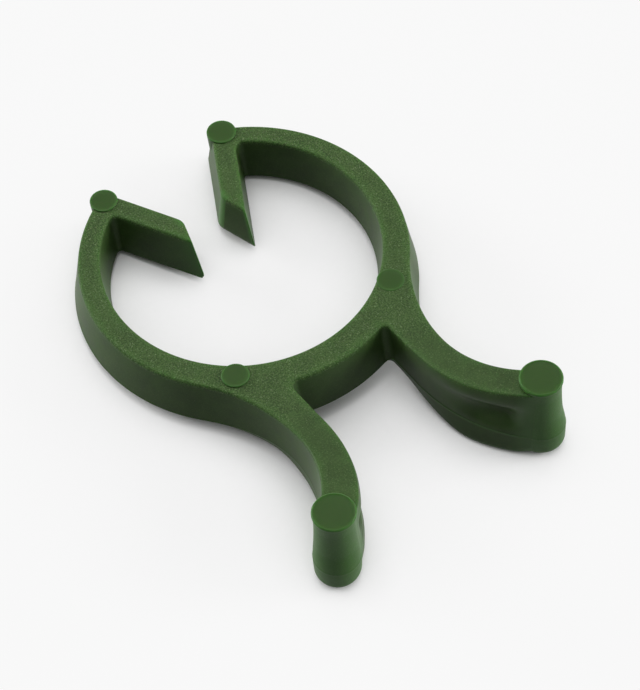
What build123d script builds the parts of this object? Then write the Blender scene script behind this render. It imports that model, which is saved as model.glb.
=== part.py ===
from build123d import *
import os
from math import atan2, cos, degrees, hypot, radians, sin

# Orchid clip: an open ring that goes round a flower stem and its stake, with two lips
# at the mouth and two handles at the back. Squeezing the handles bends the back of the
# ring and opens the mouth. The real clip is one moulding. Here it is divided where it
# bends, and a round knuckle stands for each stretch of wall that bends.
# Units are millimetres. The origin is the centre of the ring on its flat underside,
# +Z is along the ring's axis and +Y points out of the mouth. Sizes in plan are those of
# the top face, and sizes of one side are those of the right one, on +X.

# ring: its outer side is centred behind the bore, so the wall is thickest at the back
bore_radius = 10.0
ring_wall = 1.67
outer_shift = 0.33
ring_height = 3.6

# mould: the parting line runs round every wall, and each wall slopes back from it
parting_height = 0.75
ring_flare = 0.4
ring_under_taper = 0.1
handle_flare = 0.12

# lips: where the two sides of the lip end, and how far each side leans from +Y, in degrees.
# The share is of the bore, and gives the fillet between the bore and the lip
lip_outer_end_x = 1.77
lip_outer_end_y = 4.5
lip_inner_end_x = 2.29
lip_inner_end_y = 2.75
lip_outer_lean = 28.2
lip_inner_lean = 28.5
lip_root_share = 0.06
lip_tip_step_x = 0.14
lip_tip_step_y = 1.05
lip_tip_height = 0.3
lip_under_cut = 2.3

# handles: the waist is the place where the blade runs straight back, and the outer side's
# root runs a little way into the ring's wall, so that the two surfaces really cross
waist_x = 6.3
waist_reach = 3.3
root_overlap = 0.05
handle_width = 2.2
crotch_fillet = 0.5

# grips: from a little before the waist each blade grows taller towards its post. Its top
# rises on one arc, and its underside drops on two and then runs level
rise_lead = 2.8
grip_rise = 1.75
drop_lead = 2.3
drop_run = 7.0
grip_drop = 1.5
grip_edge_fillet = 0.4
grip_spread = 2.32
grip_reach = 7.47
grip_cover = 1.1

# posts: an ejector disc on a neck that widens to the parting line, and a rounded foot
post_radius = 1.5
post_rise = 2.1
post_disc_height = 0.25
post_neck_radius = 1.38
post_parting_radius = 1.65
post_foot_fillet = 1.0

# small ejector marks, placed by their angle from +X, in degrees
mark_radius = 0.98
mark_rise = 0.12
flush_mark_rise = 0.03
corner_mark_angle = 62.0
corner_mark_inset = 0.4
root_mark_angle = -52.6

# bending places, in degrees from +X; the share is of the half wall at the parting line
bridge_knuckle_angle = -79.0
flank_knuckle_angle = -20.0
knuckle_wall_share = 1.12
knuckle_clearance = 0.08

# worked out from the values above
outer_radius = bore_radius + ring_wall
upper_depth = ring_height - parting_height
ring_draft = degrees(atan2(ring_flare, upper_depth))
under_draft = degrees(atan2(ring_under_taper, parting_height))
handle_draft = degrees(atan2(handle_flare, upper_depth))
lip_root_fillet = bore_radius * lip_root_share
waist_y = -(outer_radius + outer_shift + waist_reach)
post_x = waist_x + grip_spread
post_y = waist_y - grip_reach
block_size = 4 * (outer_radius + waist_reach + grip_reach)


def right_and_left(shape):
    """The shape and its mirror image across the clip's middle plane."""
    return shape + mirror(shape, about=Plane.YZ)


def along(x, y, lean, length):
    """The point that lies length away from x, y, leaning by an angle from +Y."""
    return (x + length * sin(radians(lean)), y + length * cos(radians(lean)))


def at_angle(angle, distance):
    """The point at a distance from the bore's centre, at an angle from +X."""
    return (distance * cos(radians(angle)), distance * sin(radians(angle)))


def outer_side(angle):
    """How far the ring's outer side is from the bore's centre, at an angle from +X."""
    across = outer_shift * cos(radians(angle))
    return (outer_radius ** 2 - across ** 2) ** 0.5 - outer_shift * sin(radians(angle))


def wall_middle(angle):
    """The middle of the ring's wall, at an angle from +X."""
    return at_angle(angle, (bore_radius + outer_side(angle)) / 2)


def lip_plan():
    """The right lip in plan, from well inside the mouth to beyond the ring's wall."""
    outer_near = along(lip_outer_end_x, lip_outer_end_y, lip_outer_lean, -lip_under_cut)
    inner_near = along(lip_inner_end_x, lip_inner_end_y, lip_inner_lean, -lip_under_cut)
    outer_far = along(lip_outer_end_x, lip_outer_end_y, lip_outer_lean, outer_radius)
    inner_far = along(lip_inner_end_x, lip_inner_end_y, lip_inner_lean, outer_radius)
    return make_face(Polyline(outer_near, outer_far, inner_far, inner_near, close=True))


def mouth_plan():
    """What the mouth takes out of the ring, between the lips' outer sides."""
    near = (lip_outer_end_x, lip_outer_end_y)
    far = along(*near, lip_outer_lean, outer_radius)
    return make_face(Polyline(near, far, (-far[0], far[1]), (-near[0], near[1]), close=True))


def is_lip_root(vertex):
    """Whether a corner of the plan is where a lip's inner side meets the bore."""
    on_bore = abs(hypot(vertex.X, vertex.Y) - bore_radius) < knuckle_clearance
    return on_bore and vertex.Y > 0


def ring_plan():
    """The ring and its lips on the top face."""
    disc = Pos(0, -outer_shift) * Circle(outer_radius)
    plan = disc - Circle(bore_radius) - mouth_plan()
    plan = plan + (right_and_left(lip_plan()) & disc)
    return fillet([v for v in plan.vertices() if is_lip_root(v)], lip_root_fillet)


def drafted(plan, bottom, upper_draft, lower_draft):
    """A plan that widens from the top face to the parting line and narrows below it."""
    upper = extrude(Pos(0, 0, ring_height) * plan, -upper_depth, taper=-upper_draft)
    parting = upper.faces().sort_by(Axis.Z)[0]
    lower = extrude(parting, parting_height - bottom, dir=(0, 0, -1), taper=lower_draft)
    return upper + lower


def bevel(three_points, inside):
    """A block on the far side of the plane through three points, away from inside."""
    a, b, c = (Vector(*point) for point in three_points)
    normal = (b - a).cross(c - a).normalized()
    if normal.dot(Vector(*inside) - a) > 0:
        normal = normal * -1
    plane = Plane(origin=a, x_dir=b - a, z_dir=normal)
    size = outer_radius
    return plane * Box(size, size, size, align=(Align.CENTER, Align.CENTER, Align.MIN))


def lip_bevels():
    """The two slopes that bring the right lip's end to an edge just above its underside."""
    outer = (lip_outer_end_x, lip_outer_end_y, ring_height)
    inner = (lip_inner_end_x, lip_inner_end_y, ring_height)
    tip = (inner[0] - lip_tip_step_x, inner[1] - lip_tip_step_y, lip_tip_height)
    edge = (tip[0] + outer[0] - inner[0], tip[1] + outer[1] - inner[1], lip_tip_height)
    under = along(tip[0], tip[1], lip_inner_lean, lip_under_cut) + (0,)
    inside = along(inner[0], inner[1], lip_inner_lean, lip_under_cut) + (ring_height,)
    bevels = bevel((outer, inner, tip), inside) + bevel((tip, edge, under), inside)
    return bevels & block(Align.MIN, Align.CENTER)


def tangent_radius(across, run, other_radius):
    """The radius of an arc that starts straight back and ends tangent to a circle.

    The circle's centre lies across to the side and run along from the arc's start."""
    return (across ** 2 + run ** 2 - other_radius ** 2) / (2 * (across - other_radius))


def handle_plan():
    """The right handle's blade in plan: an S from the ring's wall to the grip post."""
    waist_in = Vector(waist_x - handle_width, waist_y)
    waist_out = Vector(waist_x, waist_y)
    ring_centre = Vector(0, -outer_shift)
    post = Vector(post_x, post_y)
    root_circle = outer_radius - root_overlap
    root_radius = -tangent_radius(waist_x, waist_y + outer_shift, root_circle)
    outwards = (waist_out + Vector(root_radius, 0) - ring_centre).normalized()
    join = ring_centre + outwards * root_circle
    buried = ring_centre + outwards * (outer_radius - ring_wall / 2)
    inner_root = Vector(waist_in.X, -bore_radius)
    inner_radius = tangent_radius(post_x - waist_in.X, grip_reach, post_radius)
    inner_centre = waist_in + Vector(inner_radius, 0)
    inner_end = post + (post - inner_centre).normalized() * post_radius
    outer_sweep = tangent_radius(grip_spread, grip_reach, -grip_cover)
    outer_centre = waist_out + Vector(outer_sweep, 0)
    outer_end = outer_centre + (post - outer_centre).normalized() * outer_sweep
    edges = [
        Line(buried, inner_root),
        Line(inner_root, waist_in),
        TangentArc(waist_in, inner_end, tangent=(0, -1)),
        Line(inner_end, outer_end),
        TangentArc(waist_out, outer_end, tangent=(0, -1)),
        TangentArc(waist_out, join, tangent=(0, 1)),
        Line(join, buried),
    ]
    return make_face(edges)


def blade_side():
    """The blade's side view: level behind the ring, then taller both ways towards the post."""
    end_y = post_y - post_radius
    top = ring_height + grip_rise
    rise_start = (waist_y + rise_lead, ring_height)
    drop_start = (waist_y + drop_lead, 0)
    drop_middle = (drop_start[0] - drop_run / 2, -grip_drop / 2)
    drop_end = (drop_start[0] - drop_run, -grip_drop)
    edges = [
        Line((0, 0), (0, ring_height)),
        Line((0, ring_height), rise_start),
        TangentArc(rise_start, (post_y, top), tangent=(-1, 0)),
        Line((post_y, top), (end_y, top)),
        Line((end_y, top), (end_y, -grip_drop)),
        Line((end_y, -grip_drop), drop_end),
        TangentArc(drop_end, drop_middle, tangent=(1, 0)),
        TangentArc(drop_start, drop_middle, tangent=(-1, 0)),
        Line(drop_start, (0, 0)),
    ]
    return extrude(Plane.YZ * make_face(edges), post_x + post_radius)


def blade():
    """The right handle's blade, drafted from the parting line, with its lower edges rounded."""
    plan = handle_plan()
    shape = drafted(plan, -grip_drop, handle_draft, handle_draft)
    shape = shape + extrude(Pos(0, 0, ring_height) * plan, grip_rise, taper=handle_draft)
    shape = shape & blade_side()
    under = [face for face in shape.faces() if face.normal_at().Z < -1 / 2]
    edges = [edge for face in under for edge in face.edges() if edge.center().Y < -bore_radius]
    return fillet([edge for edge in edges if edge.length > handle_width * 3 / 2], grip_edge_fillet)


def grip_post():
    """The right grip's post: a disc, a neck that widens downwards, and a rounded foot."""
    top = ring_height + post_rise
    neck_top = top - post_disc_height
    foot_radius = post_parting_radius - post_foot_fillet
    foot_side = (post_parting_radius, post_foot_fillet - grip_drop)
    edges = [
        Line((0, -grip_drop), (foot_radius, -grip_drop)),
        TangentArc((foot_radius, -grip_drop), foot_side, tangent=(1, 0)),
        Line(foot_side, (post_parting_radius, parting_height)),
        TangentArc((post_neck_radius, neck_top), (post_parting_radius, parting_height), tangent=(0, -1)),
        Line((post_neck_radius, neck_top), (post_radius, neck_top)),
        Line((post_radius, neck_top), (post_radius, top)),
        Line((post_radius, top), (0, top)),
        Line((0, top), (0, -grip_drop)),
    ]
    return Pos(post_x, post_y) * revolve(Plane.XZ * make_face(edges), Axis.Z)


def mark(place, rise):
    """A round ejector mark that stands on the top face and reaches the parting line."""
    height = upper_depth + rise
    align = (Align.CENTER, Align.CENTER, Align.MIN)
    return Pos(*place, parting_height) * Cylinder(mark_radius, height, align=align)


def is_crotch(edge):
    """Whether an upright edge is where a handle's inner side leaves the ring's back."""
    middle = edge.center()
    upright = abs(edge.tangent_at(0).Z) > 1 / 2
    behind_ring = -outer_radius - outer_shift - ring_flare < middle.Y < -bore_radius
    return upright and behind_ring and abs(middle.X) < waist_x - handle_width / 2


def whole_clip():
    """The moulding in one piece, before it is divided at its bending places."""
    ring = drafted(ring_plan(), 0, ring_draft, under_draft)
    clip = ring - right_and_left(lip_bevels()) + right_and_left(blade())
    parting_plane = Plane.XY.offset(parting_height)
    halves = [split(clip, parting_plane, keep=side) for side in (Keep.TOP, Keep.BOTTOM)]
    clip = Part()
    for half in halves:
        clip = clip + fillet([edge for edge in half.edges() if is_crotch(edge)], crotch_fillet)
    clip = clip + right_and_left(grip_post())
    corner_distance = outer_side(corner_mark_angle) - corner_mark_inset
    clip = clip + right_and_left(mark(at_angle(corner_mark_angle, corner_distance), mark_rise))
    root_x, root_y = wall_middle(root_mark_angle)
    return clip + mark((root_x, root_y), flush_mark_rise) + mark((-root_x, root_y), mark_rise)


def block(x_align, y_align):
    """A block far larger than the clip, with its middle, side or corner at the origin."""
    return Box(block_size, block_size, block_size, align=(x_align, y_align, Align.CENTER))


def knuckle(angle, clearance=0):
    """A round bar a little wider than the ring's wall, at an angle from +X."""
    half_wall = (outer_side(angle) - bore_radius) / 2
    radius = (half_wall + ring_flare) * knuckle_wall_share + clearance
    return Pos(*wall_middle(angle)) * Cylinder(radius, block_size)


def lever_cell():
    """The space of the right lever: from the bridge's knuckle to its own at the flank."""
    beside_bridge = Pos(wall_middle(bridge_knuckle_angle)[0], 0) * block(Align.MIN, Align.CENTER)
    below_flank = Rot(0, 0, flank_knuckle_angle) * block(Align.CENTER, Align.MAX)
    cell = (beside_bridge & below_flank) - knuckle(bridge_knuckle_angle, knuckle_clearance)
    return cell + knuckle(flank_knuckle_angle)


def jaw_cell():
    """The space of the right jaw: all of the right side above the flank's knuckle."""
    above_flank = Rot(0, 0, flank_knuckle_angle) * block(Align.CENTER, Align.MIN)
    right_side = block(Align.MIN, Align.CENTER)
    return (above_flank & right_side) - knuckle(flank_knuckle_angle, knuckle_clearance)


def bridge_cell():
    """The space of the bridge: the back of the ring between its two knuckles."""
    half_width = wall_middle(bridge_knuckle_angle)[0]
    back = block(Align.CENTER, Align.MAX)
    between = Box(half_width * 2, block_size, block_size)
    return (back & between) + right_and_left(knuckle(bridge_knuckle_angle))


clip = whole_clip()
os.makedirs("parts", exist_ok=True)
export_step(clip & bridge_cell(), "parts/bridge.step")
for region, cell in {"lever": lever_cell(), "jaw": jaw_cell()}.items():
    export_step(clip & cell, f"parts/right_{region}.step")
    export_step(clip & mirror(cell, about=Plane.YZ), f"parts/left_{region}.step")
print("bridge knuckle", wall_middle(bridge_knuckle_angle))
print("flank knuckle", wall_middle(flank_knuckle_angle))
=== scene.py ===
import logging
import math
from collections.abc import Callable
from dataclasses import dataclass, field
from enum import Enum
from typing import NamedTuple

import bpy
import numpy as np
from mathutils import Euler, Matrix
from mathutils.geometry import delaunay_2d_cdt


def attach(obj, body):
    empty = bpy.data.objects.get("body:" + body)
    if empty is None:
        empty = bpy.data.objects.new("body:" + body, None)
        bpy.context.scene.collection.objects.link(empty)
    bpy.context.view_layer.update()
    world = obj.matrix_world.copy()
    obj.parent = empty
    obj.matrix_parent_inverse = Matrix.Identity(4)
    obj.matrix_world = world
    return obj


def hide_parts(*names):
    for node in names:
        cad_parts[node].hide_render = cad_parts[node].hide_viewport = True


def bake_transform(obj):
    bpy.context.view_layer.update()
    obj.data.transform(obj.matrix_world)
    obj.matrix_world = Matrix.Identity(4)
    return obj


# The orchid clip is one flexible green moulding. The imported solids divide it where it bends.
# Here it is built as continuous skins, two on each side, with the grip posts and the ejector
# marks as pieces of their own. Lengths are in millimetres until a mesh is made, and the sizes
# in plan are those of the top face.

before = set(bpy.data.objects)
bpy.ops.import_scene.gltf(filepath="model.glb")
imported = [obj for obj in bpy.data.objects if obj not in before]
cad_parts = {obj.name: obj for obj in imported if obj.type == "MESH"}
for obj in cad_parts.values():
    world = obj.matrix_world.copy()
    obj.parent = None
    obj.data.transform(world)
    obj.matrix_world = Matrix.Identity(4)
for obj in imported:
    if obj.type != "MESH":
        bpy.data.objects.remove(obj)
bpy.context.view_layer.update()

MM = 0.001
LOG = logging.getLogger("orchid_clip")
Points = np.ndarray
Pair = tuple[float, float]
Triple = tuple[float, float, float]
Colour = tuple[float, float, float, float]

# What each mesh keeps at its points for the material: painted glow, grain with painted glints, pin face
SHARES = ("thin_edge", "grain_share", "pin_face")


class Side(Enum):
    """The two sides of the clip, and the sign that X has there."""

    RIGHT = 1
    LEFT = -1

    def body(self, region: str) -> str:
        """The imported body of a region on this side."""
        return f"{self.name.lower()}_{region}"


class Face(Enum):
    """The parts of a wall's outline from the top face to the underside."""

    TOP_ROUND = 1
    UPPER = 2
    RIDGE = 3
    LOWER = 4
    BOTTOM_ROUND = 5


# How much painted glow the parts of a wall get, as painted highlights along its edges and ridge, how
# fast that fades below the top edge, and how strong the grain and its painted glints are on that edge
# and on the rest of the wall
EDGE_GLOW = {Face.TOP_ROUND: 0.15, Face.UPPER: 0.15, Face.RIDGE: 0.1, Face.BOTTOM_ROUND: 0.35}
GLOW_FADE = 7
EDGE_GRAIN_AND_GLINT = 1.7
WALL_GRAIN_AND_GLINT = 0.15

# The rows of each part of a wall, as shares of the way down it
ROW_SHARES = {
    Face.TOP_ROUND: np.linspace(0, 1, 6),
    Face.UPPER: np.linspace(0, 1, 15)[1:],
    Face.RIDGE: (0.3, 0.7, 1.0),
    Face.LOWER: np.linspace(0, 1, 7)[1:],
    Face.BOTTOM_ROUND: np.linspace(0, 1, 7)[1:],
}


def smooth(value: Points | float) -> Points | float:
    """A value from 0 to 1, eased at both ends."""
    held = np.clip(value, 0, 1)
    return held * held * (3 - 2 * held)


def hump(value: Points, power: float = 1.3) -> Points:
    """A hump that rises from 0 at value 0 to 1 and is back at 0 at value 1."""
    return np.sin(np.pi * np.clip(value, 0, 1)) ** power


def towards(angle: float | Points) -> Points:
    """The unit vector at an angle from +X, in degrees."""
    turned = np.radians(angle)
    return np.stack([np.cos(turned), np.sin(turned)], -1)


def arc(centre: Points, radius: float, start: float, end: float, count: int) -> Points:
    """Evenly spaced points along an arc between two angles from +X, in degrees."""
    return centre + towards(np.linspace(start, end, count)) * radius


def line(start: Points, end: Points, count: int) -> Points:
    """Evenly spaced points from start to end, with both."""
    return start + (end - start) * np.linspace(0, 1, count)[:, None]


def angle_of(vector: Points) -> float:
    """A vector's angle from +X, in degrees."""
    return math.degrees(math.atan2(vector[1], vector[0]))


def left_of(direction: Points) -> Points:
    """A direction turned a quarter turn to the left."""
    return np.array([-direction[1], direction[0]])


def unit(vector: Points) -> Points:
    """A vector's direction."""
    return vector / np.linalg.norm(vector)


def crossing(point_a: Points, along_a: Points, point_b: Points, along_b: Points) -> Points:
    """Where two straight lines cross, each given by a point and a direction."""
    share = np.linalg.solve(np.stack([along_a, -along_b], 1), point_b - point_a)[0]
    return point_a + along_a * share


def on_circle(point: Points, along: Points, centre: Points, radius: float) -> Points:
    """Where a straight line leaves a circle.

    Args:
        point: a point of the line.
        along: the line's unit direction.
        centre: the circle's centre.
        radius: the circle's radius.

    Returns:
        The crossing further along the line.
    """
    offset = point - centre
    half = offset @ along
    root = math.sqrt(half * half - offset @ offset + radius * radius)
    return point + along * (root - half)


def bend(start: Points, corner: Points, end: Points, count: int) -> Points:
    """Points on a curve that bends round a corner, from start to end."""
    share = np.linspace(0, 1, count)[:, None]
    return start * (1 - share) ** 2 + corner * 2 * share * (1 - share) + end * share**2


def rounded(before: Points, corner: Points, after: Points, reach: float, count: int) -> Points:
    """Points round a corner that starts and ends a short reach away from it."""
    start, end = (corner + unit(side - corner) * reach for side in (before, after))
    return bend(start, corner, end, count)


def tangent_radius(across: float, along: float, radius: float) -> float:
    """The radius of an arc that sets off straight along and touches a circle that it comes to."""
    return (across**2 + along**2 - radius**2) / (2 * (across - radius))


def placed(name: str, data: bpy.types.ID) -> bpy.types.Object:
    """Makes an object and puts it in the scene.

    Args:
        name: its name.
        data: its mesh, light or camera.

    Returns:
        The object.
    """
    made = bpy.data.objects.new(name, data)
    bpy.context.scene.collection.objects.link(made)
    return made


class Shade:
    """One socket of a node that gives a value, colour or vector, with Python's operators."""

    def __init__(self, nodes: "Nodes", socket: bpy.types.NodeSocket) -> None:
        """Keeps the socket and the tree that it is in."""
        self.nodes = nodes
        self.socket = socket

    def _maths(self, operation: str, first: "Shade | float", second: "Shade | float") -> "Shade":
        """A Math node of two values."""
        return self.nodes.add("Math", {"operation": operation}, {0: first, 1: second})

    def __add__(self, other: "Shade | float") -> "Shade":
        """Self plus other."""
        return self._maths("ADD", self, other)

    def __radd__(self, other: float) -> "Shade":
        """Other plus self."""
        return self._maths("ADD", other, self)

    def __sub__(self, other: "Shade | float") -> "Shade":
        """Self minus other."""
        return self._maths("SUBTRACT", self, other)

    def __rsub__(self, other: float) -> "Shade":
        """Other minus self."""
        return self._maths("SUBTRACT", other, self)

    def __mul__(self, other: "Shade | float") -> "Shade":
        """Self times other."""
        return self._maths("MULTIPLY", self, other)

    def __rmul__(self, other: float) -> "Shade":
        """Other times self."""
        return self._maths("MULTIPLY", other, self)

    def between(self, low: float, high: float) -> "Shade":
        """Self eased from 0 at low to 1 at high."""
        settings = {"interpolation_type": "SMOOTHSTEP"}
        return self.nodes.add("MapRange", settings, {0: self, 1: low, 2: high})


class Nodes:
    """The node tree of a material or the world."""

    def __init__(self, tree: bpy.types.NodeTree) -> None:
        """Empties the tree."""
        self.tree = tree
        tree.nodes.clear()

    def add(
        self,
        kind: str,
        settings: dict[str, object] | None = None,
        inputs: dict[int | str, object] | None = None,
        output: int | str = 0,
    ) -> Shade:
        """Makes one node.

        Args:
            kind: the node's type, without the ShaderNode before it.
            settings: what is set on the node before its sockets.
            inputs: a value or a Shade for each named or numbered socket.
            output: the socket that is given back.

        Returns:
            That output, or the first input of a node that has no output.
        """
        made = self.tree.nodes.new("ShaderNode" + kind)
        for name, value in (settings or {}).items():
            setattr(made, name, value)
        for key, value in (inputs or {}).items():
            if isinstance(value, Shade):
                self.tree.links.new(value.socket, made.inputs[key])
            else:
                made.inputs[key].default_value = value
        return Shade(self, made.outputs[output] if made.outputs else made.inputs[0])

    def mix(self, share: Shade | float, first: object, second: object) -> Shade:
        """A colour between two colours."""
        return self.add("Mix", {"data_type": "RGBA"}, {0: share, 6: first, 7: second}, 2)

    def seen(self) -> Shade:
        """Tells what the camera sees from the other light.

        Returns:
            1 for what is seen straight, in gloss or through glass, and 0 for the rest.
        """
        path = "LightPath"
        gloss = self.add(path, output="Is Glossy Ray") + self.add(path, output="Is Transmission Ray")
        return self.add(path, output="Is Camera Ray") + gloss

    def kept(self, name: str) -> Shade:
        """What a mesh keeps at its points under a name."""
        return self.add("Attribute", {"attribute_name": name}, output="Fac")

    def noise(self, place: Shade, size: float, detail: float = 2.0) -> Shade:
        """Noise from 0 to 1 whose lumps are about size millimetres across."""
        inputs = {"Vector": place, "Scale": 1 / (size * MM), "Detail": detail}
        return self.add("TexNoise", {}, inputs, "Fac")


def new_material(name: str) -> tuple[bpy.types.Material, Nodes]:
    """Makes a material.

    Args:
        name: its name.

    Returns:
        The material and its empty node tree.
    """
    made = bpy.data.materials.new(name)
    made.use_nodes = True
    return made, Nodes(made.node_tree)


def times(share: float, colour: Colour) -> Colour:
    """A colour times a number, with its alpha left at 1."""
    return tuple(share * c for c in colour[:3]) + (1,)


@dataclass(frozen=True)
class MouldedPlastic:
    """The clip's green plastic: grained where the mould was, smooth where its pins were."""

    name: str
    body: Colour = (0.040, 0.079, 0.020, 1)
    # edge is the brighter green of the painted glow: painted highlights on edges, rims and posts
    edge: Colour = (0.056, 0.150, 0.032, 1)
    pale: Colour = (0.064, 0.120, 0.033, 1)
    # A painted glint: the pale colour that the grain's specks take, standing in for light they catch
    painted_glint: Colour = (0.135, 0.205, 0.085, 1)
    pin: Colour = (0.028, 0.069, 0.011, 1)
    darkest: float = 0.7
    grain_size: float = 0.12
    grain_band: Pair = (0.42, 0.58)
    grain_mottle: float = 0.7
    grain_rough: float = 0.10
    speck_share: float = 0.8
    speck_band: Pair = (0.6, 0.7)
    speck_relief: float = 0.5
    wave_size: float = 1.6
    wave_band: Pair = (0.3, 0.7)
    wave_mottle: float = 0.25
    wave_rough: float = 0.12
    dent_size: float = 0.5
    dent_relief: float = 0.25
    relief: float = 0.022
    roughness: float = 0.42
    shine: float = 0.12
    bleed: float = 0.4
    bleed_reach: float = 0.7
    bleed_tint: Triple = (0.35, 1.0, 0.25)

    def material(self) -> bpy.types.Material:
        """Builds the material.

        Returns:
            The material, with colour, roughness and grain that vary, painted glints and a painted glow.
        """
        made, nodes = new_material(self.name)
        place = nodes.add("TexCoord", output="Object")
        thin, grain, pin = (nodes.kept(name) for name in SHARES)
        fine = nodes.noise(place, self.grain_size, 1.0)
        wave = nodes.noise(place, self.wave_size)
        speck = nodes.noise(place, self.grain_size * self.speck_share).between(*self.speck_band)
        mottle = fine.between(*self.grain_band) * grain * self.grain_mottle
        mottle = mottle + wave.between(*self.wave_band) * self.wave_mottle
        colour = nodes.mix(mottle, times(self.darkest, self.body), self.pale)
        # Painted glints on the grain's specks, which stay real bumps as well
        colour = nodes.mix(speck * grain, colour, self.painted_glint)
        # The pin faces' darker green, with the painted glow's brighter green laid over everything
        colour = nodes.mix(thin, nodes.mix(pin, colour, self.pin), self.edge)
        rough = self.roughness + grain * self.grain_rough + (wave - 0.5) * self.wave_rough
        dents = nodes.noise(place, self.dent_size) * self.dent_relief
        height = (fine + speck * self.speck_relief) * grain + dents
        relief = {"Strength": 1.0, "Distance": self.relief * MM, "Height": height}
        inputs = {
            "Base Color": colour,
            "Roughness": rough,
            "Normal": nodes.add("Bump", {}, relief),
            "Specular IOR Level": self.shine,
            "Subsurface Weight": self.bleed,
            "Subsurface Radius": self.bleed_tint,
            "Subsurface Scale": self.bleed_reach * MM,
        }
        surface = nodes.add("BsdfPrincipled", {}, inputs)
        nodes.add("OutputMaterial", {}, {"Surface": surface})
        return made


@dataclass(frozen=True)
class PaleBoard:
    """The pale board that the clip lies on."""

    name: str = "pale_board"
    colour: Colour = (0.86, 0.86, 0.86, 1)
    fibre_size: float = 0.5
    fibre_band: Pair = (0.3, 0.7)
    fibre_dark: float = 0.985
    bounce: float = 0.36
    paleness: float = 0.8
    far_paleness: float = 0.96
    contact_reach: float = 7.0
    contact_band: Pair = (0.25, 0.88)
    contact_samples: int = 8
    middle: float = 16.0
    near_reach: float = 13.0
    far_reach: float = 26.0
    white: float = 0.945

    def material(self) -> bpy.types.Material:
        """Builds the material.

        Returns:
            A matt white with faint fibres, which the camera sees nearly as the backdrop, but
            for a soft shade close to the clip.
        """
        made, nodes = new_material(self.name)
        place = nodes.add("TexCoord", output="Object")
        seen = nodes.seen()
        fibre = nodes.noise(place, self.fibre_size).between(*self.fibre_band)
        fibred = nodes.mix(fibre, times(self.fibre_dark, self.colour), self.colour)
        colour = nodes.mix(seen, times(self.bounce, self.colour), fibred)
        inputs = {"Base Color": colour, "Roughness": 1.0, "Specular IOR Level": 0.0}
        lit = nodes.add("BsdfPrincipled", {}, inputs)
        white = {"Color": times(self.white, (1, 1, 1, 1)), "Strength": 1.0}
        pale = nodes.add("Emission", {}, white)
        shift = {0: place, 1: (0, -self.middle * MM, 0)}
        offset = nodes.add("VectorMath", {"operation": "ADD"}, shift)
        away = nodes.add("VectorMath", {"operation": "LENGTH"}, {0: offset}, "Value")
        far = away.between(self.near_reach * MM, self.far_reach * MM)
        paleness = far * (self.far_paleness - self.paleness) + self.paleness
        # Where the clip hides the sky, less pale white covers the lit board: real shadow plus painted
        # contact shade
        reach = {"Distance": self.contact_reach * MM}
        sky = nodes.add("AmbientOcclusion", {"samples": self.contact_samples}, reach, "AO")
        share = seen * (sky.between(*self.contact_band) * paleness)
        surface = nodes.add("MixShader", {}, {0: share, 1: lit, 2: pale})
        nodes.add("OutputMaterial", {}, {"Surface": surface})
        return made


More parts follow.
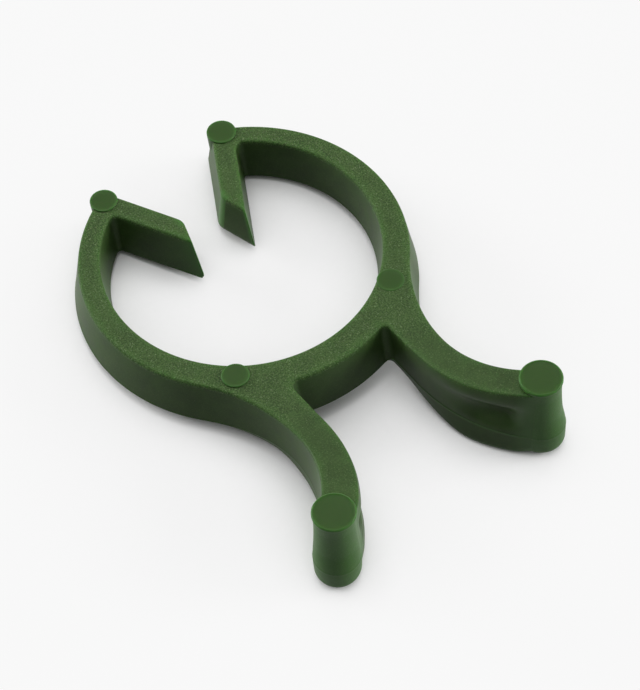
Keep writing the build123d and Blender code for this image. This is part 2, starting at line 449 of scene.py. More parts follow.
@dataclass(frozen=True)
class Mould:
    """The clip's sizes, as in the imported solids, and the form of its walls."""

    bore: float = 10.0
    outer: float = 11.67
    outer_centre: float = -0.33
    top: float = 3.6
    ring_parting: float = 0.3
    grip_parting: float = 0.68
    ring_flare: float = 0.45
    under_flare: float = 0.32
    outer_more: float = 0.14
    waist_flare: float = 0.16
    grip_flare: float = 0.06
    grip_under_share: float = 0.6
    hollow: float = 0.8
    hollow_start: float = 0.3
    hollow_drop: float = 0.62
    hollow_place: float = 0.72
    hollow_before: float = 0.24
    hollow_after: float = 0.12
    shoulder: float = 0.12
    shoulder_drop: float = 0.45
    belly: float = 0.3
    belly_fade: float = 0.6
    belly_end: float = 0.5
    belly_run: float = 0.4
    edge_round: float = 0.15
    ring_foot_round: float = 0.1
    grip_foot_round: float = 0.6
    foot_round_lead: float = 0.2
    ridge: float = 0.03
    ridge_half: float = 0.03
    outer_ridge_share: float = 0.3
    waist_x: float = 6.3
    waist_y: float = -15.3
    blade_width: float = 2.2
    crotch_round: float = 0.5
    lip_round: float = 0.6
    lip_round_low: float = 0.3
    rise_start: float = -12.0
    grip_rise: float = 1.75
    rise_power: float = 1.7
    drop_start: float = -13.0
    drop_run: float = 7.0
    grip_drop: float = 1.5
    post_x: float = 8.62
    post_y: float = -22.77
    post_radius: float = 1.5
    post_foot: float = 0.9
    post_sink: float = 0.03
    merge_start: float = 0.82
    grip_cover: float = 1.1
    # Painted glow on the posts and the handle wall beside them, in place of light from the side
    post_glow: float = 0.6
    neck_heights: tuple[float, ...] = (-1.5, -0.6, 0.1, 0.75, 1.6, 2.4, 3.2, 4.0, 4.6, 5.6)
    neck_radii: tuple[float, ...] = (1.54, 1.60, 1.62, 1.61, 1.56, 1.50, 1.45, 1.42, 1.41, 1.46)
    foot_swell: float = 0.15
    swell_top: float = 2.4
    swell_run: float = 1.8
    swell_angle: float = 308.0
    swell_spread: float = 62.0

    def post(self) -> Points:
        """The grip post's centre in plan."""
        return np.array([self.post_x, self.post_y])

    def top_at(self, y: Points) -> Points:
        """The height of the top face, which rises along the handles, at places along Y."""
        along = np.clip((self.rise_start - y) / (self.rise_start - self.post_y), 0, 1)
        return self.top + self.grip_rise * along**self.rise_power

    def bottom_at(self, y: Points) -> Points:
        """The height of the underside, which drops below the ring's along the handles."""
        return -self.grip_drop * smooth((self.drop_start - y) / self.drop_run)

    def parting_at(self, handle: Points) -> Points:
        """The height of the mould's parting line, from the ring to the handles."""
        return self.ring_parting + (self.grip_parting - self.ring_parting) * handle

    def swell_at(self, height: Points, angles: Points) -> Points:
        """How far a grip post's foot swells out at heights, and in columns at angles in radians."""
        share = smooth((self.swell_top - height) / self.swell_run)[:, None]
        return self.foot_swell * share * self.swell_window(np.degrees(angles))

    def swell_window(self, angles: Points) -> Points:
        """How much of the swelling there is at angles in degrees."""
        away = (angles - self.swell_angle + 180) % 360 - 180
        return np.exp(-((away / self.swell_spread) ** 2))

    def post_inset(self, height: Points) -> Points:
        """How far the rounding of a post's foot pulls its wall in at a height."""
        low = np.clip((self.post_foot - self.grip_drop - height) / self.post_foot, 0, 1)
        return self.post_foot * (1 - np.sqrt(1 - low**2))

    def foot_at(self, handle: Points, near: Points) -> Points:
        """How far the lower edge is rounded, from the ring to the post."""
        more = smooth(near * 2 + self.foot_round_lead) * handle
        return self.ring_foot_round + (self.grip_foot_round - self.ring_foot_round) * more

    def neck(self, height: Points) -> Points:
        """The grip post's radius at a height, below its disc and above its foot."""
        return np.interp(height, self.neck_heights, self.neck_radii)


@dataclass
class Row:
    """One row of a wall: where it is between the top face and the underside."""

    face: Face
    share: float

    def heights(self, mould: Mould, y: Points, handle: Points, near: Points) -> Points:
        """The row's height at places along Y.

        Args:
            mould: the clip's sizes.
            y: the places along Y.
            handle: 0 where the wall is the ring's, 1 where it is a handle's.
            near: 0 at the waist, 1 at the post.

        Returns:
            The heights.
        """
        top, bottom = mould.top_at(y), mould.bottom_at(y)
        rim, foot = mould.edge_round, mould.foot_at(handle, near)
        parting = mould.parting_at(handle)
        above, below = parting + mould.ridge_half, parting - mould.ridge_half
        if self.face is Face.TOP_ROUND:
            return top - rim * (1 - math.cos(self.share * math.pi / 2))
        if self.face is Face.UPPER:
            return top - rim + (above - top + rim) * self.share
        if self.face is Face.RIDGE:
            return above + (below - above) * self.share
        if self.face is Face.LOWER:
            return below + (bottom + foot - below) * self.share
        return bottom + foot * (1 - math.sin(self.share * math.pi / 2))

    def inset(self, mould: Mould, handle: Points, near: Points) -> Points:
        """How far an edge's rounding pulls the row in from the wall.

        Args:
            mould: the clip's sizes.
            handle: 0 where the wall is the ring's, 1 where it is a handle's.
            near: 0 at the waist, 1 at the post.

        Returns:
            The distances.
        """
        if self.face is Face.TOP_ROUND:
            return mould.edge_round * (1 - math.sin(self.share * math.pi / 2)) + 0 * handle
        if self.face is Face.BOTTOM_ROUND:
            return mould.foot_at(handle, near) * (1 - math.cos(self.share * math.pi / 2))
        return 0 * handle

    def glow(self) -> float:
        """How much painted glow the row gets, from 0 to 1."""
        fade = math.exp(-GLOW_FADE * self.share) if self.face is Face.UPPER else 1
        return fade * EDGE_GLOW.get(self.face, 0)

    def grain(self) -> float:
        """How strong the grain and its painted glints are along the row, where the top face has 1."""
        return EDGE_GRAIN_AND_GLINT if self.face is Face.TOP_ROUND else WALL_GRAIN_AND_GLINT


def wall_rows() -> list[Row]:
    """The rows of every wall, from the top face to the underside."""
    return [Row(face, share) for face, shares in ROW_SHARES.items() for share in shares]


@dataclass
class Stretch:
    """One stretch of the outline. A stretch of the ring has no share of the handle.

    Handle and near say how much the wall is a handle's and how near it is to the post."""

    name: str
    points: Points
    handle: Points | None = None
    near: Points | None = None

    def __post_init__(self) -> None:
        """Fills the shares of a stretch of the ring."""
        if self.handle is None:
            self.handle = self.near = np.zeros(len(self.points))

    def after_first(self) -> "Stretch":
        """The stretch without its first point, which the one before it has."""
        return Stretch(self.name, self.points[1:], self.handle[1:], self.near[1:])


@dataclass
class BladeArc:
    """One side of a handle on an arc in plan, with the angles of its ends from +X."""

    name: str
    centre: Points
    radius: float
    start: float
    end: float
    handle: Points
    near: Points
    inner: bool = False


@dataclass
class Outline:
    """The outline of the clip's right half in plan, at any row of its walls.

    It runs along the bore from the back, round the lip and back outside to the handle."""

    mould: Mould
    seam_angle: float = -38.0
    lip_outer_end: Pair = (1.69, 4.77)
    lip_inner_end: Pair = (2.29, 2.75)
    lip_outer_lean: float = 28.2
    lip_inner_lean: float = 28.5
    lip_tip: Pair = (2.15, 1.7)
    lip_under_cut: float = 2.3
    lip_inner_corner: float = 0.16
    lip_outer_corner: float = 0.45
    lip_outer_flare: float = 0.95
    lip_blunt: float = 0.16
    lip_blunt_share: float = 0.1
    jaw_corner: float = 0.5

    def flare(self, row: Row) -> float:
        """How far the ring's wall stands out of the top face's outline.

        Args:
            row: the row of the wall.

        Returns:
            The distance.
        """
        m, none = self.mould, np.zeros(1)
        if row.face in (Face.LOWER, Face.BOTTOM_ROUND):
            share = row.share if row.face is Face.LOWER else 1
            return m.ring_flare + (m.under_flare - m.ring_flare) * share
        drop = (m.top - row.heights(m, none, none, none)[0]) / (m.top - m.ring_parting)
        raised = row.face is Face.RIDGE and row.share < 1
        return m.ring_flare * min(1, drop) + m.outer_ridge_share * m.ridge * raised

    def lip(self, row: Row) -> tuple[Points, ...]:
        """The right lip's lines at a row.

        Args:
            row: the row.

        Returns:
            The outer end, inner end, outer direction and inner direction.
        """
        m, none = self.mould, np.zeros(1)
        height = row.heights(m, none, none, none)[0]
        inset = float(row.inset(m, none, none)[0])
        drop = (m.top - height) / (m.top - m.ring_parting)
        out, within = (towards(90 - lean) for lean in (self.lip_outer_lean, self.lip_inner_lean))
        ends = (self.lip_outer_end, self.lip_inner_end, self.lip_tip)
        outer, inner, tip = (np.array(end) for end in ends)
        end = unit(outer - inner)
        if drop <= 1:
            start = inner + (tip - inner) * drop
            blunt = smooth((drop - 1) / self.lip_blunt_share + 1)
        else:
            under = (m.ring_parting - height) / m.ring_parting
            start = tip + within * self.lip_under_cut * under
            blunt = 1 - smooth(under * 2)
        start = start - left_of(end) * (inset + self.lip_blunt * blunt)
        outer_line = outer + left_of(out) * (self.flare(row) * self.lip_outer_flare - inset)
        inner_line = inner - left_of(within) * (self.flare(row) - inset)
        outer_end = crossing(outer_line, out, start, end)
        inner_end = crossing(inner_line, within, start, end)
        return outer_end, inner_end, out, within

    def root_arc(self) -> tuple[Points, float]:
        """The arc that leads from the ring to a handle's outer side.

        Returns:
            Its centre and its radius.
        """
        m = self.mould
        radius = -tangent_radius(m.waist_x, m.waist_y - m.outer_centre, m.outer)
        return np.array([m.waist_x + radius, m.waist_y]), radius

    def ring_part(self, row: Row, ring: float, stand: float) -> list[Stretch]:
        """The outline at a row along the bore, round the lip and back outside.

        Args:
            row: the row of the walls.
            ring: how far the bore's wall stands out of the top face's outline.
            stand: how far the outer wall does.

        Returns:
            The stretches in order, from the middle of the bore to the handle's root.
        """
        m = self.mould
        origin, centre = np.zeros(2), np.array([0, m.outer_centre])
        bore, outer = m.bore - ring, m.outer + stand
        outer_end, inner_end, out, within = self.lip(row)
        root = m.lip_round + (m.lip_round_low - m.lip_round) * max(ring, 0) / m.ring_flare
        root_middle = on_circle(inner_end - left_of(within) * root, within, origin, bore - root)
        root_line = root_middle + left_of(within) * root
        root_bore, root_turn = angle_of(root_middle), angle_of(left_of(within))
        jaw = on_circle(outer_end, out, centre, outer)
        jaw_turn = math.degrees(self.jaw_corner / outer)
        jaw_out = centre + towards(angle_of(jaw - centre) - jaw_turn) * outer
        jaw_angle, join = angle_of(jaw_out - centre), angle_of(self.root_arc()[0] - centre)
        near_in, near_out = self.lip_inner_corner, self.lip_outer_corner
        along_end = unit(outer_end - inner_end)
        lip_outer = line(outer_end + out * near_out, jaw - out * self.jaw_corner, 26)
        parts = {
            "bore_back": arc(origin, bore, -90, self.seam_angle, 46),
            "bore": arc(origin, bore, self.seam_angle, root_bore, 76),
            "lip_root": arc(root_middle, root, root_bore, root_turn, 9),
            "lip_inner": line(root_line, inner_end + within * near_in, 26),
            "lip_inner_corner": rounded(root_line, inner_end, outer_end, near_in, 6),
            "lip_end": line(inner_end + along_end * near_in, outer_end - along_end * near_out, 9),
            "lip_outer_corner": rounded(inner_end, outer_end, jaw, near_out, 9),
            "lip_outer": lip_outer,
            "jaw_corner": bend(lip_outer[-1], jaw, jaw_out, 8),
            "outer": arc(centre, outer, jaw_angle, self.seam_angle, 88),
            "outer_join": arc(centre, outer, self.seam_angle, join, 4),
        }
        first, *others = (Stretch(name, points) for name, points in parts.items())
        return [first] + [stretch.after_first() for stretch in others]

    def handle_part(self, row: Row, ring: float, stand: float) -> list[Stretch]:
        """The outline at a row round the handle and along the ring's back.

        Args:
            row: the row of the walls.
            ring: how far the bore's wall stands out of the top face's outline.
            stand: how far the outer wall does.

        Returns:
            The stretches in order, from the handle's root to the middle of the back.
        """
        m, one, none = self.mould, np.ones(1), np.zeros(1)
        centre, outer = np.array([0, m.outer_centre]), m.outer + stand
        root_centre, root_radius = self.root_arc()
        join = angle_of(root_centre - centre)
        spread, reach = m.post_x - m.waist_x, m.waist_y - m.post_y
        sweep = tangent_radius(spread, reach, -m.grip_cover)
        sweep_centre = np.array([m.waist_x + sweep, m.waist_y])
        sweep_end = angle_of(m.post() - sweep_centre) % 360
        waist_in = m.waist_x - m.blade_width
        turn = tangent_radius(m.post_x - waist_in, reach, m.post_radius)
        turn_centre = np.array([waist_in + turn, m.waist_y])
        turn_end = angle_of(m.post() - turn_centre) % 360
        waist = self.blade_offset(row, m.waist_y * one, one, none, True, none, ring)[0]
        crotch_x = waist_in - waist - m.crotch_round
        crotch_y = m.outer_centre - math.sqrt((outer + m.crotch_round) ** 2 - crotch_x**2)
        crotch = np.array([crotch_x, crotch_y])
        back_start = angle_of(crotch - centre)
        waist_points = line(np.array([waist_in - waist, m.waist_y]),
                            np.array([waist_in - waist, crotch_y]), 16)
        arcs = (
            BladeArc("root", root_centre, root_radius, join + 180, 180,
                     smooth(np.linspace(0, 1, 30)), np.zeros(30)),
            BladeArc("sweep", sweep_centre, sweep, 180, sweep_end, np.ones(40), np.linspace(0, 1, 40)),
            BladeArc("turn", turn_centre, turn, turn_end, 180, np.ones(44), np.linspace(1, 0, 44), True),
        )
        root_side, sweep_side, turn_side = (self.blade(row, stand, side) for side in arcs)
        return [
            root_side.after_first(),
            sweep_side.after_first(),
            turn_side,
            Stretch("waist", waist_points[1:], np.ones(15), np.zeros(15)),
            Stretch("crotch", arc(crotch, m.crotch_round, 0, back_start + 180, 10)[1:],
                    smooth(np.linspace(1, 0, 9)), np.zeros(9)),
            Stretch("back", arc(centre, outer, back_start, -90, 18)).after_first(),
        ]

    def stretches(self, row: Row) -> list[Stretch]:
        """The outline at a row.

        Args:
            row: the row of the walls.

        Returns:
            The stretches in order, from the middle of the bore to the middle of the back.
        """
        ring = self.flare(row) - float(row.inset(self.mould, np.zeros(1), np.zeros(1))[0])
        stand = ring + self.mould.outer_more * self.flare(row) / self.mould.ring_flare
        return self.ring_part(row, ring, stand) + self.handle_part(row, ring, stand)

    def blade(self, row: Row, stand: float, side: BladeArc) -> Stretch:
        """A stretch of a handle on an arc, whose wall stands out by the wall's own form.

        Args:
            row: the row of the walls.
            stand: how far the ring's outer wall stands out at this row.
            side: the arc on the top face.

        Returns:
            The stretch.
        """
        m, ways = self.mould, towards(np.linspace(side.start, side.end, len(side.near)))
        merge = smooth((side.near - m.merge_start) / (1 - m.merge_start)) * side.inner
        y = (side.centre + ways * side.radius)[:, 1]
        shift = self.blade_offset(row, y, side.handle, side.near, side.inner, merge, stand)
        radii = side.radius + (shift if side.inner else -shift)
        return Stretch(side.name, side.centre + ways * radii[:, None], side.handle, side.near)

    def blade_offset(self, row: Row, y: Points, handle: Points, near: Points, inner: bool,
                     merge: Points, ring: float) -> Points:
        """How far a handle's wall stands out of the top face's outline at a row.

        Args:
            row: the row.
            y: the places along Y.
            handle: 0 where the wall is still the ring's, 1 where it is the handle's.
            near: 0 at the waist, 1 at the post.
            inner: whether it is the handle's inner wall.
            merge: 1 where the wall runs into the post and takes its form.
            ring: the ring's own offset at this row.

        Returns:
            The offsets.
        """
        m = self.mould
        height = row.heights(m, y, handle, near)
        top, parting = m.top_at(y), m.parting_at(handle)
        drop = np.clip((top - height) / (top - parting), 0, 1)
        full = m.waist_flare + (m.grip_flare - m.waist_flare) * near * inner
        offset = full * drop
        if inner:
            reach = np.where(near < m.hollow_place, m.hollow_before, m.hollow_after)
            deep = m.hollow * np.exp(-(((near - m.hollow_place) / reach) ** 2))
            shoulder = m.shoulder * hump(drop / m.shoulder_drop) * smooth(near * 2)
            offset = offset + shoulder - deep * hump((drop - m.hollow_start) / m.hollow_drop)
        if row.face is Face.RIDGE and row.share < 1:
            offset = offset + m.ridge * (1 if inner else m.outer_ridge_share)
        if row.face in (Face.LOWER, Face.BOTTOM_ROUND):
            share = row.share if row.face is Face.LOWER else 1
            fade = m.belly_fade * smooth((near - m.belly_end) / m.belly_run)
            belly = m.belly * smooth(near * 2) * (1 - fade)
            low = full * m.grip_under_share + belly * inner
            offset = full + (low - full) * share
        offset = offset + (m.neck(height) - m.post_radius - m.post_sink - offset) * merge
        offset = offset - row.inset(m, handle, near) * (1 - merge) - m.post_inset(height) * merge
        return ring + (offset - ring) * handle


@dataclass
class MeshSheet:
    """A mesh in the making, in millimetres, for the right side of the clip."""

    name: str
    points: list[Points] = field(default_factory=list)
    faces: list[tuple[int, ...]] = field(default_factory=list)
    total: int = 0

    def add(self, places: Points, normals: Points, *shares: Points | float) -> int:
        """Adds points.

        Args:
            places: where they are.
            normals: their normals, of any length.
            shares: their painted glow, grain with painted glints and share of an ejector pin's face.

        Returns:
            The number of the first of them.
        """
        spread = [np.broadcast_to(share, len(places)) for share in shares]
        self.points.append(np.column_stack([places, normals, *spread]))
        self.total += len(places)
        return self.total - len(places)

    def quads(self, start: int, rows: int, width: int, closed: bool) -> None:
        """Joins a grid of points with faces.

        Args:
            start: the number of its first point.
            rows: how many rows it has.
            width: how many points a row has.
            closed: whether its rows meet themselves, as those of a turned form do. They run
                the other way round than a wall's.
        """
        for row_start in range(start, start + (rows - 1) * width, width):
            for i in range(width if closed else width - 1):
                a, b = row_start + i, row_start + (i + 1) % width
                quad = (a, a + width, b + width, b) if closed else (a, b, b + width, a + width)
                self.faces.append(quad)

    def piece(self, side: Side) -> bpy.types.Object:
        """Makes the object, mirrored for the left side.

        Args:
            side: the side of the clip.

        Returns:
            The object, in metres, with its own normals and shares.
        """
        table, flip = np.concatenate(self.points), (side.value, 1, 1)
        turned = self.faces if side is Side.RIGHT else [f[::-1] for f in self.faces]
        mesh = bpy.data.meshes.new(self.name)
        mesh.from_pydata((table[:, :3] * flip * MM).tolist(), [], turned)
        for name, values in zip(SHARES, table.T[6:]):
            layer = mesh.attributes.new(name, "FLOAT", "POINT")
            layer.data.foreach_set("value", values.astype(np.float32))
        mesh.shade_smooth()
        normals = table[:, 3:6] * flip
        normals = normals / np.linalg.norm(normals, axis=1, keepdims=True)
        mesh.normals_split_custom_set_from_vertices(normals.tolist())
        LOG.info("%s: %d faces", self.name, len(turned))
        return placed(self.name, mesh)


@dataclass
class Skin:
    """The clip's right half as a grid of wall points, with its two flat faces.

    Both sides of the clip, and both skins of a side, are taken from it."""

    mould: Mould
    outline: Outline
    cell: float = 0.42
    border_share: float = 0.55
    seam_count: int = 3
    # Painted glow on the lip's corners, towards its tip, on the ridge beside the post and across seams
    corner_glow: float = 0.8
    lip_glow: float = 0.7
    ridge_glow: float = 0.5
    seam_glow: float = 0.1
    grain_loss: float = 0.65
    grain_end: float = -11.0
    grain_run: float = 5.0
    rows: list[Row] = field(default_factory=wall_rows)

    def __post_init__(self) -> None:
        """Works out the grid, its normals and what varies over it."""
        levels = [self.outline.stretches(row) for row in self.rows]
        first = levels[0]
        handle = np.concatenate([s.handle for s in first])
        near = np.concatenate([s.near for s in first])
        grid = []
        for row, level in zip(self.rows, levels):
            points = np.concatenate([s.points for s in level])
            heights = row.heights(self.mould, points[:, 1], handle, near)
            grid.append(np.column_stack([points, heights]))
        self.grid = np.array(grid)
        ends = np.cumsum([len(s.points) for s in first])
        self.columns = {s.name: slice(end - len(s.points), end) for s, end in zip(first, ends)}
        self.normals = self.wall_normals()
        self.thin = self.painted_glow_shares()

    def wall_normals(self) -> Points:
        """The wall's own normals, from its grid, with the faces' normals in its end rows.

        Returns:
            A normal for each point of the grid.
        """
        grid = self.grid
        mirrored = grid * (-1, 1, 1)
        padded = np.concatenate([mirrored[:, 1:2], grid, mirrored[:, -2:-1]], 1)
        along = padded[:, 2:] - padded[:, :-2]
        sweep_end = self.columns["sweep"].stop - 1
        along[:, sweep_end] = grid[:, sweep_end] - grid[:, sweep_end - 1]
        along[:, sweep_end + 1] = grid[:, sweep_end + 2] - grid[:, sweep_end + 1]
        down = np.empty_like(grid)
        down[1:-1] = grid[2:] - grid[:-2]
        down[0], down[-1] = grid[1] - grid[0], grid[-1] - grid[-2]
        normals = np.cross(along, down)
        normals[0] = self.face_normals(grid[0, :, 1], 1)
        normals[-1] = self.face_normals(grid[-1, :, 1], -1)
        return normals / np.linalg.norm(normals, axis=2, keepdims=True)

    def face_normals(self, y: Points, sign: int) -> Points:
        """The normals of a flat face.

        Args:
            y: places along Y.
            sign: 1 for the top face, -1 for the underside.

        Returns:
            A normal for each place.
        """
        step = 0.01
        level = self.mould.top_at if sign > 0 else self.mould.bottom_at
        slope = (level(y + step) - level(y - step)) / (2 * step)
        return np.column_stack([0 * y, -slope * sign, np.full(len(y), float(sign))])

    def painted_glow_shares(self) -> Points:
        """How much painted glow each point gets, a brighter green for painted highlights and lit edges.

        Returns:
            A share for each point of the grid.
        """
        share = np.repeat([[float(row.glow())] for row in self.rows], self.grid.shape[1], 1)
        turn, lip = self.columns["turn"], self.columns["lip_inner"]
        ridge = [k for k, row in enumerate(self.rows) if row.face is Face.RIDGE]
        share[ridge, turn] = self.ridge_glow
        beside_post = smooth(np.linspace(1, 0, turn.stop - turn.start) * 4 - 3)
        least = {
            "lip_inner_corner": self.corner_glow,
            "lip_outer_corner": self.corner_glow,
            "turn": self.mould.post_glow * beside_post,
            "lip_inner": self.lip_glow * np.linspace(0, 1, lip.stop - lip.start) ** 5,
        }
        for name, glow in least.items():
            columns = self.columns[name]
            share[:, columns] = np.maximum(share[:, columns], glow)
        return share

    def grain_at(self, y: Points) -> Points:
        """How strong the mould's grain and its painted glints are along Y: full on the ring, weak on
        handles.
        """
        return 1 - self.grain_loss * smooth((self.grain_end - y) / self.grain_run)

    def face_points(self, border: Points) -> Points:
        """Points spread over a flat face.

        Args:
            border: the face's border in plan.

        Returns:
            The points in plan, all a little away from the border.
        """
        low, high = border.min(0), border.max(0)
        xs = np.arange(low[0], high[0], self.cell)
        ys = np.arange(low[1], high[1], self.cell)
        x, y = (v.ravel() for v in np.meshgrid(xs, ys))
        inside = np.zeros(len(x), bool)
        for (ax, ay), (bx, by) in zip(border, np.roll(border, -1, 0)):
            if ay != by:
                inside ^= ((ay > y) != (by > y)) & (x < (bx - ax) * (y - ay) / (by - ay) + ax)
        spread = np.column_stack([x, y])[inside]
        gaps = np.array([np.min(np.hypot(*(border - p).T)) for p in spread])
        return spread[gaps > self.cell * self.border_share]

    def add_wall(self, sheet: MeshSheet, run: tuple[int, int]) -> int:
        """Adds one run of wall to a mesh.

        Args:
            sheet: the mesh.
            run: the run's first and last column.

        Returns:
            The number of its first point.
        """
        columns = slice(run[0], run[1] + 1)
        places = self.grid[:, columns]
        grain = self.grain_at(places[:, :, 1]) * np.array([[row.grain()] for row in self.rows])
        normals, thin = self.normals[:, columns].reshape(-1, 3), self.thin[:, columns].ravel()
        start = sheet.add(places.reshape(-1, 3), normals, thin, grain.ravel(), 0)
        sheet.quads(start, *places.shape[:2], closed=False)
        return start

    def add_level(self, sheet: MeshSheet, places: Points, sign: int, thin: float) -> range:
        """Adds points of a flat face to a mesh.

        Args:
            sheet: the mesh.
            places: the points.
            sign: 1 for the top face, -1 for the underside.
            thin: how much painted glow the face gets there.

        Returns:
            The points' numbers.
        """
        y = places[:, 1]
        grain = self.grain_at(y) * (sign > 0)
        start = sheet.add(places, self.face_normals(y, sign), thin, grain, 0)
        return range(start, sheet.total)

    def add_face(self, sheet: MeshSheet, sign: int, runs: list[tuple[int, int]],
                 starts: list[int]) -> None:
        """Adds a flat face to a mesh, between its runs of wall and straight across its seams.

        Args:
            sheet: the mesh.
            sign: 1 for the top face, -1 for the underside.
            runs: first and last column of each run of wall.
            starts: the number of each run's first point.
        """
        k = 0 if sign > 0 else len(self.rows) - 1
        level = self.mould.top_at if sign > 0 else self.mould.bottom_at
        border, known = [], []
        for index, (begin, end) in enumerate(runs):
            width, following = end - begin + 1, runs[(index + 1) % len(runs)][0]
            known += range(starts[index] + k * width, starts[index] + (k + 1) * width)
            seam = line(self.grid[k, end], self.grid[k, following], self.seam_count + 2)[1:-1]
            known += self.add_level(sheet, seam, sign, self.seam_glow)
            border += [self.grid[k, begin:end + 1], seam]
        ring = np.concatenate(border)[:, :2]
        inside = self.face_points(ring)
        places = np.column_stack([inside, level(inside[:, 1])])
        known += self.add_level(sheet, places, sign, 0)
        edges = [(i, (i + 1) % len(ring)) for i in range(len(ring))]
        spread = [tuple(p) for p in np.concatenate([ring, inside])]
        points, _, faces, origins, *_ = delaunay_2d_cdt(spread, edges, [], 1, 1e-6)
        for face in faces:
            corners = tuple(known[origins[v][0]] for v in face)
            a, b, c = (np.array(points[v]) for v in face[:3])
            turn = (b - a)[0] * (c - a)[1] - (b - a)[1] * (c - a)[0]
            sheet.faces.append(corners if turn * sign > 0 else corners[::-1])

    def build(self, name: str, side: Side, runs: list[tuple[int, int]]) -> bpy.types.Object:
        """Makes the skin of one region.

        Args:
            name: the piece's name.
            side: the side of the clip.
            runs: first and last column of each run of wall, in the order of the outline.

        Returns:
            The piece.
        """
        sheet = MeshSheet(name)
        starts = [self.add_wall(sheet, run) for run in runs]
        self.add_face(sheet, 1, runs, starts)
        self.add_face(sheet, -1, runs, starts)
        return sheet.piece(side)


class Ring(NamedTuple):
    """A ring of a turned form, with its painted glow, grain with painted glints and share of an ejector
    pin's face.
    """

    radius: float
    height: float
    thin: float
    grain: float = 0.0
    pin: float = 0.0


@dataclass
class Turning:
    """A round form turned about an upright axis, which may swell out on one side."""

    name: str
    centre: Points
    rings: list[Ring]
    segments: int
    swell: Callable[[Points, Points], Points] | None = None

    def piece(self, side: Side) -> bpy.types.Object:
        """Makes the object from its rings.

        Args:
            side: the side of the clip.

        Returns:
            The object.
        """
        radii, heights, *shares = np.array(self.rings).T
        count, turns = len(radii), self.segments
        angles = np.arange(turns) * 2 * math.pi / turns
        spread = radii[:, None] + (self.swell(heights, angles) if self.swell else 0)
        x = self.centre[0] + spread * np.cos(angles)
        y = self.centre[1] + spread * np.sin(angles)
        grid = np.stack([x, y, np.repeat(heights[:, None], turns, 1)], -1)
        around = np.roll(grid, -1, 1) - np.roll(grid, 1, 1)
        normals = np.cross(np.gradient(grid, axis=0), around)
        normals[0], normals[-1] = (0, 0, 1), (0, 0, -1)
        sheet = MeshSheet(self.name)
        repeated = (np.repeat(share, turns) for share in shares)
        sheet.add(grid.reshape(-1, 3), normals.reshape(-1, 3), *repeated)
        sheet.quads(0, count, turns, closed=True)
        poles = np.array([[*self.centre, height] for height in heights[[0, -1]]])
        ends = (share[[0, -1]] for share in shares)
        top = sheet.add(poles, np.array([[0, 0, 1], [0, 0, -1]]), *ends)
        last = (count - 1) * turns
        for i in range(turns):
            j = (i + 1) % turns
            sheet.faces += [(top, i, j), (top + 1, last + j, last + i)]
        return sheet.piece(side)


@dataclass(frozen=True)
class PinDish:
    """The shallow dish that an ejector pin's face leaves inside its rim.

    Each span is the first share of the dish's radius, the last one, and how many there are."""

    depth: float
    power: int
    # glow and glow_power give the dish a painted highlight that grows towards its rim
    glow: float
    glow_power: int
    grain: float
    spans: tuple[tuple[float, float, int], ...]

    def rings(self, radius: float, top: float) -> list[Ring]:
        """The dish's rings from near its middle to its rim, whose radius and height are given."""
        shares = np.concatenate([np.linspace(*span) for span in self.spans])
        return [Ring(share * radius, top - self.depth * (1 - share**self.power),
                     self.glow * share**self.glow_power, self.grain, 1.0) for share in shares]


@dataclass
class GripPost:
    """The post at a handle's end: a disc left by an ejector pin, a neck and a rounded foot."""

    mould: Mould
    top: float = 5.7
    disc_thick: float = 0.25
    disc_bevel: float = 0.06
    disc_under: float = 0.04
    rim_width: float = 0.1
    rim_round: float = 0.07
    ridge_share: float = 0.6
    ridge_half: float = 0.015
    ridge_reach: float = 0.04
    neck_grain: float = 0.25
    foot_grain: float = 0.2
    dish: PinDish = PinDish(0.07, 14, 0.35, 8, 0.2, ((0.1, 0.8, 5), (0.84, 1.0, 9)))

    def outline(self) -> list[Ring]:
        """The post's outline.

        Returns:
            Its rings, from the middle of its disc to the middle of its foot.
        """
        m, top, full = self.mould, self.top, self.mould.post_radius
        below, foot, parting = top - self.disc_thick, -m.grip_drop, m.grip_parting
        rings = self.dish.rings(full - self.rim_width, top)
        # The rim and the disc's edge get a painted highlight, and so does the ridge further down
        rings += [Ring(full - self.rim_round, top, 0.75), Ring(full, top - self.rim_round, 0.8),
                  Ring(full, below + self.disc_bevel, 0.6), Ring(full - self.disc_under, below, 0.5)]
        for height in np.linspace(below - self.disc_bevel, parting + self.ridge_reach, 26):
            rings.append(Ring(float(m.neck(height)), height, m.post_glow, self.neck_grain))
        at_ridge = float(m.neck(parting)) + m.ridge * self.ridge_share
        rings += [Ring(at_ridge, parting + rise, 0.5) for rise in (self.ridge_half, -self.ridge_half)]
        for height in np.linspace(parting - self.ridge_reach, foot + m.post_foot, 7):
            rings.append(Ring(float(m.neck(height)), height, m.post_glow, self.foot_grain))
        side = float(m.neck(foot + m.post_foot))
        for turn in np.linspace(0, math.pi / 2, 12)[1:]:
            radius = side - m.post_foot * (1 - math.cos(turn))
            height = foot + m.post_foot * (1 - math.sin(turn))
            rings.append(Ring(radius, height, m.post_glow, self.foot_grain))
        return rings

    def build(self, side: Side) -> bpy.types.Object:
        """Makes the post of one side."""
        name, m = f"{side.name.lower()}_grip_post", self.mould
        return Turning(name, m.post(), self.outline(), 96, m.swell_at).piece(side)


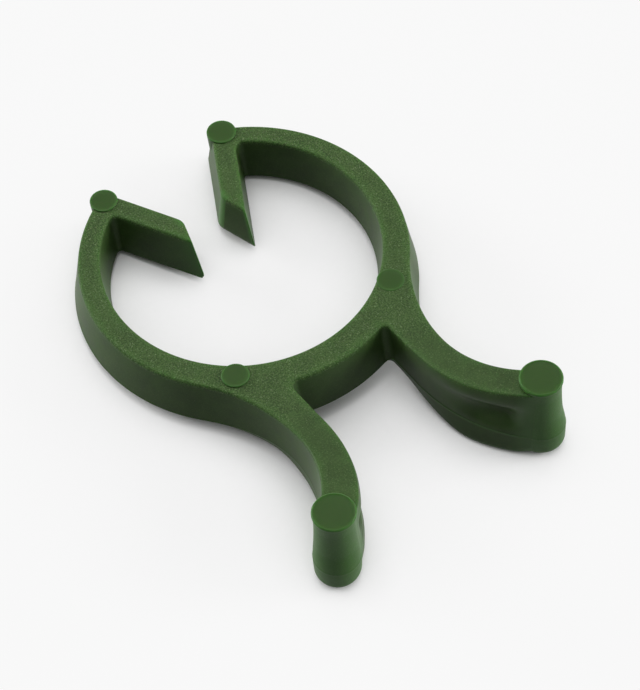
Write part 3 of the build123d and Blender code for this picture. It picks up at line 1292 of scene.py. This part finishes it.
@dataclass
class EjectorMark:
    """A small round mark that an ejector pin left on the top face."""

    name: str
    place: Pair
    rise: float
    mould: Mould
    radius: float = 0.98
    rim_width: float = 0.1
    rim_round: float = 0.05
    rim_bevel: float = 0.015
    depth: float = 0.4
    flare: float = 0.0
    dish: PinDish = PinDish(0.04, 10, 0.3, 6, 0.15, ((0.1, 0.75, 4), (0.8, 1.0, 8)))

    def outline(self) -> list[Ring]:
        """The mark's outline.

        Returns:
            Its rings, from its middle to the end that is sunk into the plastic.
        """
        radius, top = self.radius, self.mould.top + self.rise
        rings = self.dish.rings(radius - self.rim_width, top)
        # The rim gets a painted highlight, and the sunk side a little painted glow
        rings += [Ring(radius - self.rim_round, top, 0.6),
                  Ring(radius - self.rim_bevel, top - self.rim_bevel, 0.7),
                  Ring(radius, top - self.rim_round, 0.6)]
        heights = np.linspace(top - self.rim_width, self.mould.top - self.depth, 9)
        return rings + [Ring(radius + self.flare * (heights[0] - h), h, 0.2, 0.2) for h in heights]

    def build(self, side: Side) -> bpy.types.Object:
        """Makes the mark of one side."""
        return Turning(self.name, np.array(self.place), self.outline(), 56).piece(side)


# How far the marks on the handles' roots stand up, and the radii of those on the jaws
ROOT_RISES = {Side.RIGHT: 0.05, Side.LEFT: 0.13}
JAW_RADII = {Side.RIGHT: 1.07, Side.LEFT: 1.0}


@dataclass
class Clip:
    """The whole clip: its skins, left unattached, and its grip posts and marks on the bodies that carry
    them.
    """

    mould: Mould
    finish: MouldedPlastic
    slot: str = "green_plastic"
    bridge_end: float = 4.0
    flank_start: float = -5.8
    flank_end: float = -1.6
    root_place: Pair = (6.63, -8.68)
    jaw_place: Pair = (5.15, 9.7)
    jaw_rise: float = 0.12
    jaw_flare: float = -0.06

    def dress(self, piece: bpy.types.Object, material: bpy.types.Material) -> bpy.types.Object:
        """Gives a piece its material."""
        piece.data.materials.append(material)
        return piece

    def build(self) -> None:
        """Builds both sides."""
        skin = Skin(self.mould, Outline(self.mould))
        green = self.finish.material()
        last = skin.grid.shape[1] - 1
        inner_seam = skin.columns["bore_back"].stop - 1
        outer_seam = skin.columns["outer"].stop - 1
        for side in Side:
            name = side.name.lower()
            lever, jaw = side.body("lever"), side.body("jaw")
            handle = skin.build(f"{name}_handle_skin", side, [(0, inner_seam), (outer_seam, last)])
            self.dress(handle, green)
            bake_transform(handle)
            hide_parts("bridge", lever)
            flank = skin.build(f"{name}_jaw_skin", side, [(inner_seam, outer_seam)])
            self.dress(flank, green)
            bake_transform(flank)
            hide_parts(jaw)
            post = self.dress(GripPost(self.mould).build(side), green)
            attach(post, lever)
            root = EjectorMark(f"{name}_root_mark", self.root_place, ROOT_RISES[side], self.mould)
            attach(self.dress(root.build(side), green), lever)
            corner = EjectorMark(f"{name}_jaw_mark", self.jaw_place, self.jaw_rise, self.mould,
                                 JAW_RADII[side], depth=self.mould.top - self.mould.ring_parting,
                                 flare=self.jaw_flare)
            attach(self.dress(corner.build(side), green), jaw)


@dataclass(frozen=True)
class SoftBox:
    """A square soft box: its place and size in metres and its power in watts."""

    name: str
    place: Triple
    size: float
    power: float

    def hang(self, aim: Points) -> None:
        """Hangs the soft box so that it faces a point.

        Args:
            aim: the point.
        """
        light = bpy.data.lights.new(self.name, "AREA")
        light.shape, light.size, light.energy = "SQUARE", self.size, self.power
        made = placed(self.name, light)
        made.location = self.place
        away = np.array(self.place) - aim
        heading = math.atan2(away[1], away[0]) + math.pi / 2
        lean = math.atan2(math.hypot(away[0], away[1]), away[2])
        made.rotation_euler = Euler((lean, 0, heading))


@dataclass
class Studio:
    """The board, the light and the camera."""

    board_size: float = 1.2
    board_tilt: float = 2.56
    board_touch: Pair = (-22.9, -1.5)
    camera_place: Triple = (-0.063042, -0.107532, 0.16128)
    camera_turn: Triple = (36.1864, 2.7016, -36.3726)
    lens: float = 148.99
    nearest: float = 0.01
    furthest: float = 10.0
    aim: Triple = (0, -6 * MM, 0)
    boxes: tuple[SoftBox, ...] = (
        SoftBox("left_box", (-0.235, 0.392, 0.125), 0.24, 2.15),
        SoftBox("right_box", (0.41, -0.25, 0.125), 0.24, 2.2),
        SoftBox("top_box", (0.08, 0.15, 0.5), 0.34, 1.05),
    )
    ambient: float = 0.4
    ambient_band: Pair = (0.35, 1.0)
    low_light: float = 0.1
    backdrop: float = 0.945

    def board(self) -> None:
        """Lays the board under the grips and the jaws."""
        half = self.board_size / 2
        corners = [(-half, -half, 0), (half, -half, 0), (half, half, 0), (-half, half, 0)]
        mesh = bpy.data.meshes.new("board")
        mesh.from_pydata(corners, [], [(0, 1, 2, 3)])
        mesh.materials.append(PaleBoard().material())
        made = placed("board", mesh)
        y, z = self.board_touch
        made.location = (0, y * MM, z * MM)
        made.rotation_euler = (math.radians(self.board_tilt), 0, 0)

    def surroundings(self) -> None:
        """Lights the clip evenly, and shows a pale backdrop to the camera and to gloss."""
        world = bpy.data.worlds.new("studio")
        bpy.context.scene.world = world
        world.use_nodes = True
        nodes = Nodes(world.node_tree)
        way = nodes.add("TexCoord", output="Generated")
        up = nodes.add("SeparateXYZ", {}, {0: way}, "Z").between(*self.ambient_band)
        pale, soft = (
            nodes.add("Background", {}, {"Color": (1, 1, 1, 1), "Strength": strength})
            for strength in (self.backdrop, up * self.ambient + self.low_light)
        )
        both = nodes.add("MixShader", {}, {0: nodes.seen(), 1: soft, 2: pale})
        nodes.add("OutputWorld", {}, {"Surface": both})

    def camera(self) -> None:
        """Puts the camera where the photograph was taken from."""
        data = bpy.data.cameras.new("camera")
        data.lens, data.clip_start, data.clip_end = self.lens, self.nearest, self.furthest
        made = placed("camera", data)
        made.location = self.camera_place
        made.rotation_euler = tuple(math.radians(a) for a in self.camera_turn)
        bpy.context.scene.camera = made

    def build(self) -> None:
        """Sets everything up round the clip."""
        bpy.context.scene.view_settings.view_transform = "Standard"
        self.board()
        self.surroundings()
        for box in self.boxes:
            box.hang(np.array(self.aim))
        self.camera()


def main() -> None:
    """Builds the clip and the studio."""
    logging.basicConfig(level=logging.INFO, format="%(name)s: %(message)s")
    Clip(Mould(), MouldedPlastic("moulded_green")).build()
    Studio().build()


if __name__ == "__main__":
    main()
